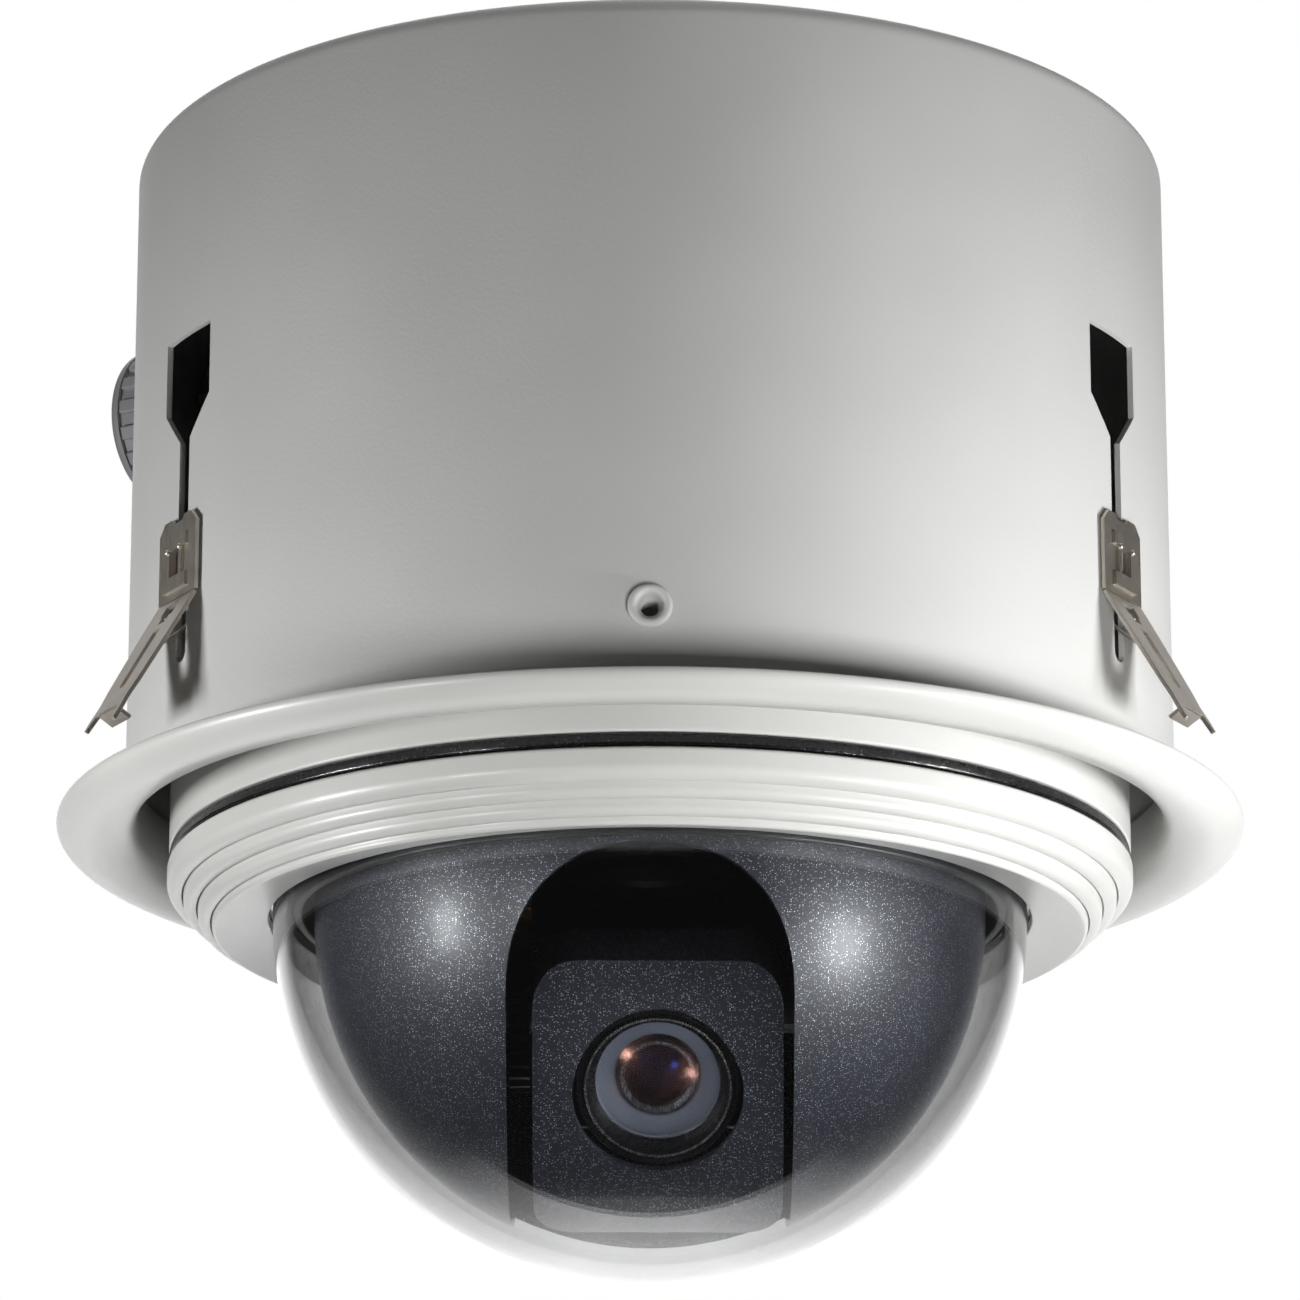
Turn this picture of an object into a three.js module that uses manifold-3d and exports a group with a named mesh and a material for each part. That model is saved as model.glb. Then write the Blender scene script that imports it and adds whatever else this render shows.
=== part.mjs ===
// Recessed dome CCTV camera: a steel ceiling can with spring clips and a trim flange,
// holding a pan and tilt camera behind a clear bubble.
// Millimetres. The origin is the centre of the ceiling's lower surface, +Z points up into the ceiling,
// -Y is the front. An azimuth is measured from the front and is positive towards +X.
import * as THREE from "three";
import { mergeVertices } from "three/addons/utils/BufferGeometryUtils.js";
import Module from "manifold-3d";

const GAP = 0.3; // clearance between touching pieces

// Ceiling can
const CAN_R = 103.9;
const CAN_TOP = 136;
const CAN_WALL = 1.2;
const CAN_SHOULDER = 3.5;
const CAN_INNER_R = CAN_R - CAN_WALL;
const CUT_REACH = 6; // how far inside the wall a hole's cutter starts
const CUT_PROUD = 2; // how far outside the wall it ends

// Trim flange: a sleeve inside the can, a flat seat against the ceiling and a crowned underside
const FLANGE_R = 117.4;
const FLANGE_SEAT_R = 116.8;
const FLANGE_DROP = 5.1;
const FLANGE_SLEEVE_R = 102.4;
const FLANGE_BORE_R = 101.4;
const FLANGE_SLEEVE_TOP = 10;

// Keyhole in the can for each spring clip
const CLIP_AZIMUTHS = [-60, 60, 180];
const SLOT_WIDTH = 4.2;
const SLOT_LOW = 19.7;
const TAPER_LOW = 64.4;
const WINDOW_LOW = 71.7;
const WINDOW_TOP = 86.4;
const WINDOW_WIDTH = 18.8;

// Spring clip: an upright plate with a wing bent outwards at its foot
const CLIP_SHEET = 0.8;
const CLIP_R = CAN_R + GAP;
const CLIP_WIDTH = 15.6;
const CLIP_BEND_Z = 32;
const CLIP_TOP_Z = 48.6;
const CLIP_CORNER = 2.2;
const WING_ANGLE = 30;
const WING_LENGTH = 29.3;
const WING_END_WIDTH = 14;
const PRONG_REACH = 2;
const LATCH_LOW = 36.4;
const LATCH_TOP = 41.6;
const NECK_LOW = 43.4;
const FOOT_TOP = 47.4;
const NECK_HALF = 1.6;
const FOOT_HALF = 6;

// Rivet nut and cable gland
const RIVET_Z = 15.1;
const RIVET_R = 3.3;
const RIVET_BORE_R = 1.9;
const RIVET_FLANGE_R = 4.1;
const GLAND_AZIMUTH = -120;
const GLAND_Z = 103.9;
const GLAND_R = 16.4;
const GLAND_BORE_R = 6.5;
const GLAND_THREAD_R = 10;
const GLAND_THREAD_IN = 10; // length of thread inside the can
const GLAND_GRIPS = 18;
const GRIP_HALF = 1.45;
const GLAND_SEAL_BORE_R = 4.5;
const LOCKNUT_ACROSS = 26;

// Hanging camera unit
const HOUSING_R = 95;
const HOUSING_WALL = 1.7;
const HOUSING_LOW = -6.05;
const HOUSING_TOP = 59.5;
const BAND_R = 94.9;
const BAND_LOW = -8.6;
const BAND_TOP = -6.35;
const SLEEVE_R = 93;
const SLEEVE_BORE_R = 91.6;
const SLEEVE_TOP = -1;
const RING_BORE_R = 75.2;
const PLATE_LOW = 3;
const PLATE_TOP = 5;

// Bubble and its ring
const DOME_Z = -18.1;
const BUBBLE_R = 74.4;
const BUBBLE_WALL = 2.5;
const BUBBLE_FLANGE_R = 84;
const BUBBLE_FLANGE_LOW = -16.9;
const BUBBLE_FLANGE_TOP = -14.6;
const RETAINER_BORE_R = 68.6;
const RETAINER_R = 70.4;
const RETAINER_LOW = -19.2;
const RETAINER_TOP = -12.3;

// Turning parts
const LINER_R = 66.2;
const LINER_WALL = 1.5;
const SLOT_HALF = 26.9;
const SLOT_ARCH_TOP = -19.4;
const SLOT_REAR_Y = 24;
const TURNTABLE_LOW = -7;
const TURNTABLE_TOP = -5;
const SPINDLE_R = 12.7;
const YOKE_X = 28.4;
const YOKE_SHEET = 3;
const YOKE_HALF = 13;

// Tilting camera
const TILT_Z = -37;
const TILT_REST = 33; // degrees the lens points below level at rest
const CAMERA_X = 1.5; // the camera sits off centre to leave room for the tilt gear
const FACE_R = 45.3;
const FACE_UP = 32.5; // degrees of curved face above the lens axis
const FACE_DOWN = 47.5;
const FACE_HALF = 23.6;
const FACE_CORNER = 8;
const COVER_WALL = 2;
const COVER_BACK = 20;
const LENS_HOLE_R = 16.15;
const AXLE_R = 4;
const BLOCK_HALF = 19;
const BLOCK_HIGH = 17;
const BLOCK_BACK = 18;

// Lens, measured along its axis from the tilt axis
const LENS_RING_R = 15.7;
const LENS_RING_BORE_R = 13.9;
const LENS_RING_FRONT = 41.5;
const BAFFLE_R = 13.6;
const BAFFLE_BORE_R = 8;
const BARREL_R = 7.7;
const BARREL_BORE_R = 6;
const BARREL_FRONT = 34.6;
const GLASS_R = 5.7;
const GLASS_BACK = 24;
const GLASS_FRONT = 33.3;

// Gears
const PAN_MODULE = 1.5;
const PAN_TEETH = 60;
const PAN_PINION_TEETH = 12;
const TILT_MODULE = 1;
const TILT_TEETH = 30;
const TILT_PINION_TEETH = 12;
const GEAR_PLAY = 0.15; // added to the centre distance

const FINE = 44; // segments round a large ring
const MEDIUM = 24; // segments round a middle-sized one
const COARSE = 16; // segments round a small one

const rad = (degrees) => (degrees * Math.PI) / 180;

const wasm = await Module();
wasm.setup();

const root = new THREE.Group();
root.name = "dome_cctv_camera";

const paint = (color, roughness, metalness = 0, opacity = 1) =>
  new THREE.MeshStandardMaterial({
    color,
    roughness,
    metalness,
    opacity,
    transparent: opacity < 1,
  });

function solid(geometry) {
  const bare = new THREE.BufferGeometry();
  const loose = geometry.index ? geometry.toNonIndexed() : geometry;
  bare.setAttribute("position", loose.getAttribute("position"));
  const merged = mergeVertices(bare, 1e-4);
  const made = new wasm.Manifold(
    new wasm.Mesh({
      numProp: 3,
      vertProperties: merged.attributes.position.array,
      triVerts: new Uint32Array(merged.index.array),
    }),
  );
  if (made.volume() < 0) throw new Error("a piece is inside out");
  return made;
}

function surface(made) {
  const mesh = made.getMesh();
  const geometry = new THREE.BufferGeometry();
  geometry.setAttribute("position", new THREE.BufferAttribute(mesh.vertProperties, 3));
  geometry.setIndex(new THREE.BufferAttribute(mesh.triVerts, 1));
  return geometry.toNonIndexed();
}

const join = (...pieces) => surface(wasm.Manifold.union(pieces.map(solid)));
const cut = (body, ...tools) => surface(wasm.Manifold.difference([body, ...tools].map(solid)));
const common = (a, b) => surface(wasm.Manifold.intersection(solid(a), solid(b)));

// Turns a profile of [radius, z] points, listed anticlockwise, about the Z axis.
function turned(profile, segments = FINE) {
  const points = profile.map(([r, z]) => new THREE.Vector2(r, z));
  const onAxis = profile[0][0] === 0 && profile[profile.length - 1][0] === 0;
  if (!onAxis) points.push(points[0].clone());
  return new THREE.LatheGeometry(points, segments).rotateX(Math.PI / 2);
}

function tube(outer, inner, low, high, segments = FINE) {
  const section = [
    [inner, low],
    [outer, low],
    [outer, high],
    [inner, high],
  ];
  return turned(section, segments);
}

const rod = (radius, low, high, segments = COARSE) => tube(radius, 0, low, high, segments);

function box(x0, x1, y0, y1, z0, z1) {
  const middle = [(x0 + x1) / 2, (y0 + y1) / 2, (z0 + z1) / 2];
  return new THREE.BoxGeometry(x1 - x0, y1 - y0, z1 - z0).translate(...middle);
}

const outline = (points) => new THREE.Shape(points.map(([x, y]) => new THREE.Vector2(x, y)));

const slab = (shape, low, high, curveSegments = 8) => {
  const settings = { depth: high - low, bevelEnabled: false, curveSegments };
  return new THREE.ExtrudeGeometry(shape, settings).translate(0, 0, low);
};

// Points on an arc about (cx, cy), angles in degrees.
function arc(cx, cy, radius, from, to, steps) {
  const points = [];
  for (let i = 0; i <= steps; i += 1) {
    const angle = rad(from + ((to - from) * i) / steps);
    points.push([cx + radius * Math.cos(angle), cy + radius * Math.sin(angle)]);
  }
  return points;
}

// Stands a piece on the can's wall: local x is along the wall, y is up and z is outwards from the can's axis.
const onWall = (geometry, azimuth) => geometry.rotateX(Math.PI / 2).rotateZ(rad(azimuth));

// Lays a piece made with its optical axis along -Y, about the tilt axis, in its rest position.
const onTilt = (geometry) => geometry.rotateX(rad(TILT_REST)).translate(CAMERA_X, 0, TILT_Z);

// Turns a piece made along +Z to point along -Y.
const forwards = (geometry) => geometry.rotateX(Math.PI / 2);

// Turns a piece made along +Z to point along +X.
const sideways = (geometry) => geometry.rotateY(Math.PI / 2);

function gearOutline(teeth, size, phase) {
  const pitch = (2 * Math.PI) / teeth;
  const pitchR = (teeth * size) / 2;
  // Root and tip of a tooth's side, as a radius and a share of the pitch.
  const flank = [
    [pitchR - 1.25 * size, -0.3],
    [pitchR + 0.9 * size, -0.11],
  ];
  const tooth = [...flank, ...flank.map(([r, side]) => [r, -side]).reverse()];
  const points = [];
  for (let i = 0; i < teeth; i += 1) {
    const middle = phase + i * pitch;
    for (const [r, side] of tooth) {
      points.push([r * Math.cos(middle + side * pitch), r * Math.sin(middle + side * pitch)]);
    }
  }
  return outline(points);
}

function gear(teeth, size, phase, bore, low, high) {
  const shape = gearOutline(teeth, size, phase);
  if (bore > 0) shape.holes.push(new THREE.Path().absarc(0, 0, bore, 0, 2 * Math.PI, true));
  return slab(shape, low, high);
}

function add(name, geometry, material) {
  geometry.computeVertexNormals();
  const mesh = new THREE.Mesh(geometry, material);
  mesh.name = name;
  root.add(mesh);
}

const POWDER_COAT = 0xc9c9c4;
const TRIM_WHITE = 0xdedfd8;
const BLACK = 0x17181b;
const STEEL = 0xa9a6a1;
const BOARD_GREEN = 0x1f5a35;

// ---- Ceiling can ----

function keyhole() {
  const half = SLOT_WIDTH / 2;
  const wide = WINDOW_WIDTH / 2;
  const foot = arc(0, SLOT_LOW + half, half, 180, 360, 8);
  const shape = outline([
    ...foot,
    [half, TAPER_LOW],
    [wide, WINDOW_LOW],
    [wide, WINDOW_TOP],
    [-wide, WINDOW_TOP],
    [-wide, WINDOW_LOW],
    [-half, TAPER_LOW],
  ]);
  return slab(shape, CAN_R - CUT_REACH, CAN_R + CUT_PROUD);
}

function canShell() {
  const corner = CAN_R - CAN_SHOULDER;
  const rise = CAN_TOP - CAN_SHOULDER;
  const body = turned([
    [0, CAN_TOP - CAN_WALL],
    ...arc(corner, rise, CAN_SHOULDER - CAN_WALL, 90, 0, 2),
    [CAN_INNER_R, 0],
    [CAN_R, 0],
    ...arc(corner, rise, CAN_SHOULDER, 0, 90, 3),
    [0, CAN_TOP],
  ]);
  const keyholes = CLIP_AZIMUTHS.map((azimuth) => onWall(keyhole(), azimuth));
  const hole = (radius) => rod(radius + GAP, CAN_R - CUT_REACH, CAN_R + CUT_PROUD);
  const rivetHole = onWall(hole(RIVET_R).translate(0, RIVET_Z, 0), 0);
  const glandHole = onWall(hole(GLAND_THREAD_R).translate(0, GLAND_Z, 0), GLAND_AZIMUTH);
  return cut(body, ...keyholes, rivetHole, glandHole);
}
add("can_shell", canShell(), paint(POWDER_COAT, 0.6));

// The can's edge sits on a ledge just below the seat.
add(
  "trim_flange",
  turned([
    [FLANGE_BORE_R, FLANGE_SLEEVE_TOP],
    [FLANGE_BORE_R, -0.4],
    [102.2, -2.2],
    [103.8, -3.3],
    [107.5, 0.5 - FLANGE_DROP],
    [110.2, -FLANGE_DROP],
    [113, 0.4 - FLANGE_DROP],
    [115.6, -3.4],
    [FLANGE_R - 0.4, -2.2],
    [FLANGE_R, -1.2],
    [FLANGE_SEAT_R, 0],
    [CAN_R + GAP, 0],
    [CAN_R + GAP, -GAP],
    [FLANGE_SLEEVE_R, -GAP],
    [FLANGE_SLEEVE_R, FLANGE_SLEEVE_TOP],
  ]),
  paint(TRIM_WHITE, 0.45),
);

function rivetNut() {
  const profile = [
    [RIVET_BORE_R, CAN_R - 7],
    [RIVET_R, CAN_R - 7],
    [RIVET_R, CAN_R + GAP],
    [RIVET_FLANGE_R, CAN_R + GAP],
    [RIVET_FLANGE_R, CAN_R + 0.9],
    [RIVET_FLANGE_R - 0.5, CAN_R + 1.3],
    [RIVET_BORE_R, CAN_R + 1.3],
  ];
  return onWall(turned(profile, COARSE).translate(0, RIVET_Z, 0), 0);
}
add("rivet_nut", rivetNut(), paint(0xb9b8b2, 0.5));

// ---- Cable gland: threaded body through the can, seal, inner locknut and outer clamping cap ----

const onGland = (geometry) => onWall(geometry.translate(0, GLAND_Z, 0), GLAND_AZIMUTH);
const CAP_LOW = CAN_R + 3.4;
const CAP_END = CAN_R + 18.6;

add(
  "gland_body",
  onGland(
    turned(
      [
        [GLAND_BORE_R, CAN_R - GLAND_THREAD_IN],
        [GLAND_THREAD_R, CAN_R - GLAND_THREAD_IN],
        [GLAND_THREAD_R, CAN_R + GAP],
        [GLAND_R - 0.6, CAN_R + GAP],
        [GLAND_R - 0.6, CAP_LOW - GAP],
        [GLAND_THREAD_R, CAP_LOW - GAP],
        [GLAND_THREAD_R, CAP_END - 5],
        [GLAND_BORE_R, CAP_END - 5],
      ],
      MEDIUM,
    ),
  ),
  paint(0x6f6e70, 0.55),
);

function hexNut(across, bore, low, high) {
  const shape = outline(arc(0, 0, across / Math.sqrt(3), 0, 300, 5));
  shape.holes.push(new THREE.Path().absarc(0, 0, bore, 0, 2 * Math.PI, true));
  return slab(shape, low, high, COARSE);
}
add(
  "gland_locknut",
  onGland(hexNut(LOCKNUT_ACROSS, GLAND_THREAD_R + GAP, CAN_R - 8.5, CAN_R - 3.5)),
  paint(0x6f6e70, 0.55),
);
add(
  "gland_seal",
  onGland(tube(GLAND_BORE_R - 0.2, GLAND_SEAL_BORE_R, CAP_END - 12, CAP_END - 4.2, COARSE)),
  paint(BLACK, 0.8),
);

function glandCap() {
  const ring = turned(
    [
      [GLAND_THREAD_R + GAP, CAP_LOW],
      [GLAND_R - 1, CAP_LOW],
      [GLAND_R - 1, CAP_END - 1.6],
      [GLAND_R - 2.4, CAP_END],
      [GLAND_BORE_R, CAP_END],
      [GLAND_BORE_R, CAP_END - 3.5],
      [GLAND_THREAD_R + GAP, CAP_END - 3.5],
    ],
    MEDIUM,
  );
  const pads = [];
  for (let i = 0; i < GLAND_GRIPS; i += 1) {
    const pad = box(GLAND_R - 2, GLAND_R, -GRIP_HALF, GRIP_HALF, CAP_LOW + 0.8, CAP_END - 3.6);
    pads.push(pad.rotateZ((2 * Math.PI * i) / GLAND_GRIPS));
  }
  return onGland(join(ring, ...pads));
}
add("gland_cap_nut", glandCap(), paint(0x767578, 0.5));

// ---- Spring clips ----

function clipPlate() {
  const half = CLIP_WIDTH / 2;
  const low = CLIP_BEND_Z + GAP;
  const shape = outline([
    [-half, low],
    [half, low],
    [half, CLIP_TOP_Z - CLIP_CORNER],
    [half - CLIP_CORNER, CLIP_TOP_Z],
    [CLIP_CORNER - half, CLIP_TOP_Z],
    [-half, CLIP_TOP_Z - CLIP_CORNER],
  ]);
  const plate = slab(shape, CLIP_R, CLIP_R + CLIP_SHEET);
  const footBack = CAN_INNER_R - 0.7 - CLIP_SHEET;
  const latchHole = box(-1.9, 1.9, LATCH_LOW, LATCH_TOP, CLIP_R - 1, CLIP_R + 2);
  const neck = box(-NECK_HALF, NECK_HALF, NECK_LOW, FOOT_TOP, footBack + 0.1, CLIP_R + 0.2);
  const foot = box(-FOOT_HALF, FOOT_HALF, 36, FOOT_TOP, footBack, footBack + CLIP_SHEET);
  return join(cut(plate, latchHole), neck, foot);
}

function clipWing() {
  const half = CLIP_WIDTH / 2;
  const end = WING_END_WIDTH / 2;
  const length = WING_LENGTH;
  const shape = outline([
    [half, -GAP],
    [-half, -GAP],
    [-half, -8],
    [-end, -length + 5],
    [-end, -length - PRONG_REACH],
    [-end + 1.4, -length - PRONG_REACH],
    [-end + 2.4, -length + 1],
    [end - 2.4, -length + 1],
    [end - 1.4, -length - PRONG_REACH],
    [end, -length - PRONG_REACH],
    [end, -length + 5],
    [half, -8],
  ]);
  const sheet = slab(shape, 0, CLIP_SHEET);
  const smallWindow = box(-2, 2, -5.4, -1.8, -1, 2);
  const longSlot = box(-1.3, 1.3, -22, -8, -1, 2);
  const endTab = box(2.6 - end, end - 2.6, -length + 0.6, -length + 1.4, -2.6, 0.4);
  const hook = box(-1.3, 1.3, -6.6, -5.8, -4.6, 0.4);
  const flat = join(cut(sheet, smallWindow, longSlot), endTab, hook);
  return flat.rotateX(-rad(WING_ANGLE)).translate(0, CLIP_BEND_Z, CLIP_R);
}

CLIP_AZIMUTHS.forEach((azimuth, index) => {
  add("clip_plate_" + (index + 1), onWall(clipPlate(), azimuth), paint(STEEL, 0.35, 1));
  add("clip_wing_" + (index + 1), onWall(clipWing(), azimuth), paint(STEEL, 0.35, 1));
});

// ---- Hanger and wiring in the top of the can ----

const HANGER_TOP = CAN_TOP - CAN_WALL - GAP;
const HANGER_LOW = HOUSING_TOP + GAP;
const HANGER_SHEET = 1.5;

function hanger() {
  const outer = 40;
  const inner = outer - HANGER_SHEET;
  const toe = 22;
  const half = [
    [inner, HANGER_TOP - HANGER_SHEET],
    [inner, HANGER_LOW + HANGER_SHEET],
    [toe, HANGER_LOW + HANGER_SHEET],
    [toe, HANGER_LOW],
    [outer, HANGER_LOW],
    [outer, HANGER_TOP],
  ];
  const mirrored = half.map(([x, y]) => [-x, y]).reverse();
  return forwards(slab(outline([...half, ...mirrored]), -15, 15));
}
add("hanger_bracket", hanger(), paint(0x8e9092, 0.4, 1));

const BOARD_SHEET = 1.6;

function powerBoard() {
  const low = 66;
  const board = box(-34, 34, -26, 26, low, low + BOARD_SHEET);
  const pillars = [-30, 30].flatMap((x) =>
    [-10, 10].map((y) => rod(2.5, HANGER_LOW + HANGER_SHEET + GAP, low + 0.1, 12).translate(x, y, 0)),
  );
  return join(board, ...pillars);
}
add("power_board", powerBoard(), paint(BOARD_GREEN, 0.6));
add("terminal_block", box(-20, 20, -22, -10, 67.9, 80), paint(0x2e6b3f, 0.6));

// ---- Camera unit: housing, seal band and trim ring ----

add(
  "unit_housing",
  turned([
    [0, HOUSING_TOP - HOUSING_WALL],
    [HOUSING_R - HOUSING_WALL, HOUSING_TOP - HOUSING_WALL],
    [HOUSING_R - HOUSING_WALL, HOUSING_LOW],
    [HOUSING_R, HOUSING_LOW],
    [HOUSING_R, HOUSING_TOP],
    [0, HOUSING_TOP],
  ]),
  paint(TRIM_WHITE, 0.45),
);
add("seal_band", tube(BAND_R, SLEEVE_R + GAP, BAND_LOW, BAND_TOP), paint(BLACK, 0.25));
add(
  "trim_ring",
  turned([
    [SLEEVE_BORE_R, SLEEVE_TOP],
    [SLEEVE_BORE_R, -12.5],
    [BUBBLE_FLANGE_R + 1.5, BUBBLE_FLANGE_LOW - GAP],
    [RING_BORE_R, BUBBLE_FLANGE_LOW - GAP],
    [RING_BORE_R, -19.1],
    [85.4, -21.2],
    [86.3, -20.3],
    [88.7, -19.6],
    [89.1, -17.6],
    [91.6, -16.9],
    [92, -15],
    [94.6, -13.9],
    [95.3, -12],
    [95.3, BAND_LOW - GAP],
    [SLEEVE_R, BAND_LOW - GAP],
    [SLEEVE_R, SLEEVE_TOP],
  ]),
  paint(TRIM_WHITE, 0.45),
);

function bubble() {
  const inner = BUBBLE_R - BUBBLE_WALL;
  return turned([
    [0, DOME_Z - BUBBLE_R],
    ...arc(0, DOME_Z, BUBBLE_R, -90, 0, 8).slice(1),
    [BUBBLE_R, BUBBLE_FLANGE_LOW],
    [BUBBLE_FLANGE_R, BUBBLE_FLANGE_LOW],
    [BUBBLE_FLANGE_R, BUBBLE_FLANGE_TOP],
    [inner, BUBBLE_FLANGE_TOP],
    ...arc(0, DOME_Z, inner, 0, -90, 7).slice(0, -1),
    [0, DOME_Z - inner],
  ]);
}
add("bubble_dome", bubble(), paint(0xeef2f4, 0.05, 0, 0.25));
add(
  "dome_retainer",
  turned([
    [RETAINER_BORE_R, RETAINER_LOW],
    [RETAINER_R, RETAINER_LOW],
    [RETAINER_R, BUBBLE_FLANGE_TOP + GAP],
    [BUBBLE_FLANGE_R, BUBBLE_FLANGE_TOP + GAP],
    [BUBBLE_FLANGE_R, RETAINER_TOP],
    [RETAINER_BORE_R, RETAINER_TOP],
  ]),
  paint(BLACK, 0.4),
);

// ---- Fixed works inside the housing ----

const PAN_REACH = (PAN_MODULE * (PAN_TEETH + PAN_PINION_TEETH)) / 2 + GEAR_PLAY;
const PINION_SHAFT_R = 2.5;
const SHAFT_HOLE_R = PINION_SHAFT_R + 0.5;

add(
  "pan_base_plate",
  cut(
    tube(SLEEVE_R, SPINDLE_R + GAP, PLATE_LOW, PLATE_TOP, FINE),
    rod(SHAFT_HOLE_R, PLATE_LOW - 1, PLATE_TOP + 1).translate(PAN_REACH, 0, 0),
  ),
  paint(0x8e9092, 0.4, 1),
);
add(
  "pan_spindle",
  turned(
    [
      [9, -9.3],
      [17, -9.3],
      [17, TURNTABLE_LOW - GAP],
      [SPINDLE_R, TURNTABLE_LOW - GAP],
      [SPINDLE_R, PLATE_TOP + GAP],
      [20, PLATE_TOP + GAP],
      [20, PLATE_TOP + 2.3],
      [9, PLATE_TOP + 2.3],
    ],
    MEDIUM,
  ),
  paint(0x9c9ea0, 0.35, 1),
);
add("slip_ring", rod(8.7, -8, 22), paint(0x2a2b2e, 0.5));
add("pan_motor", rod(12, PLATE_TOP + GAP, 30).translate(PAN_REACH, 0, 0), paint(0x77797b, 0.4, 1));

function mainBoard() {
  const low = 38;
  const board = rod(70, low, low + BOARD_SHEET, FINE);
  const pillars = [45, 135, 225, 315].map((angle) =>
    rod(3, PLATE_TOP + GAP, low + 0.1, 12).translate(60, 0, 0).rotateZ(rad(angle)),
  );
  return join(board, ...pillars);
}
add("main_board", mainBoard(), paint(BOARD_GREEN, 0.6));

// ---- Panning parts ----

const BORE_R = SPINDLE_R + GAP;

add(
  "turntable",
  tube(LINER_R, BORE_R, TURNTABLE_LOW, TURNTABLE_TOP, FINE),
  paint(BLACK, 0.5),
);
add("pan_gear", gear(PAN_TEETH, PAN_MODULE, 0, BORE_R, TURNTABLE_TOP + GAP, -0.7), paint(0xd9d6c8, 0.6));

function panPinion() {
  const halfTooth = Math.PI / PAN_PINION_TEETH;
  const teeth = gear(PAN_PINION_TEETH, PAN_MODULE, halfTooth, 0, TURNTABLE_TOP + GAP, -0.7);
  return join(teeth, rod(PINION_SHAFT_R, -1, PLATE_TOP)).translate(PAN_REACH, 0, 0);
}
add("pan_pinion", panPinion(), paint(0xb08d4a, 0.35, 1));

function liner() {
  const inner = LINER_R - LINER_WALL;
  const skirtTop = TURNTABLE_LOW - GAP;
  const shell = turned(
    [
      [0, DOME_Z - LINER_R],
      ...arc(0, DOME_Z, LINER_R, -90, 0, 8).slice(1),
      [LINER_R, skirtTop],
      [inner, skirtTop],
      ...arc(0, DOME_Z, inner, 0, -90, 7).slice(0, -1),
      [0, DOME_Z - inner],
    ],
    FINE,
  );
  const archZ = SLOT_ARCH_TOP - SLOT_HALF;
  const opening = outline([
    [-SLOT_HALF, DOME_Z - LINER_R - 5],
    [SLOT_HALF, DOME_Z - LINER_R - 5],
    ...arc(0, archZ, SLOT_HALF, 0, 180, 14),
  ]);
  return cut(shell, forwards(slab(opening, -SLOT_REAR_Y, LINER_R + 5)));
}
add("liner", liner(), paint(0x1f2024, 0.45));

const PINION_Z = TILT_Z + (TILT_MODULE * (TILT_TEETH + TILT_PINION_TEETH)) / 2 + GEAR_PLAY;

function yoke(shaftHole) {
  const top = TURNTABLE_LOW - GAP;
  const shape = outline([[YOKE_HALF, top], [-YOKE_HALF, top], ...arc(0, TILT_Z, YOKE_HALF, 180, 360, 12)]);
  const bore = (radius, z) => new THREE.Path().absarc(0, z, radius, 0, 2 * Math.PI, true);
  shape.holes.push(bore(AXLE_R + GAP, TILT_Z));
  if (shaftHole) shape.holes.push(bore(SHAFT_HOLE_R, PINION_Z));
  return forwards(slab(shape, 0, YOKE_SHEET)).rotateZ(Math.PI / 2);
}
add("yoke_left", yoke(true).translate(-YOKE_X - YOKE_SHEET, 0, 0), paint(BLACK, 0.5));
add("yoke_right", yoke(false).translate(YOKE_X, 0, 0), paint(BLACK, 0.5));
add(
  "tilt_motor",
  sideways(rod(8, -50, -YOKE_X - YOKE_SHEET - GAP)).translate(0, 0, PINION_Z),
  paint(0x77797b, 0.4, 1),
);

// Gears on the left of the camera, made about +X.
const GEAR_OUT = -YOKE_X + 1;
const GEAR_IN = GEAR_OUT + 4;

function tiltPinion() {
  const halfTooth = Math.PI / TILT_PINION_TEETH;
  const teeth = gear(TILT_PINION_TEETH, TILT_MODULE, halfTooth, 0, GEAR_OUT, GEAR_IN);
  const shaft = rod(PINION_SHAFT_R, -YOKE_X - YOKE_SHEET, GEAR_OUT + 0.1);
  return sideways(join(teeth, shaft)).translate(0, 0, PINION_Z);
}
add("tilt_pinion", tiltPinion(), paint(0xb08d4a, 0.35, 1));

// ---- Tilting camera ----

// A profile drawn as [forwards from the tilt axis, up from the lens axis] and made along X.
const fromSide = (geometry) =>
  geometry.applyMatrix4(
    new THREE.Matrix4().makeBasis(
      new THREE.Vector3(0, -1, 0),
      new THREE.Vector3(0, 0, 1),
      new THREE.Vector3(-1, 0, 0),
    ),
  );

const faceHeight = (degrees) => FACE_R * Math.sin(rad(degrees));

// The space inside the curved face, drawn in by inset on every side.
function faceBlock(inset) {
  const radius = FACE_R - inset;
  const back = inset > 0 ? COVER_BACK - 1 : COVER_BACK;
  const profile = outline([[back, 0.8 * radius], [back, -0.8 * radius], ...arc(0, 0, radius, -52, 52, 12)]);
  const side = fromSide(slab(profile, -30, 30));
  const half = FACE_HALF - inset;
  const high = faceHeight(FACE_UP) - inset;
  const low = inset - faceHeight(FACE_DOWN);
  const corner = FACE_CORNER - inset;
  const front = outline([
    ...arc(half - corner, high - corner, corner, 0, 90, 5),
    ...arc(corner - half, high - corner, corner, 90, 180, 5),
    ...arc(corner - half, low + corner, corner, 180, 270, 5),
    ...arc(half - corner, low + corner, corner, 270, 360, 5),
  ]);
  return common(side, forwards(slab(front, COVER_BACK - 5, FACE_R + 5)));
}

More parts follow.
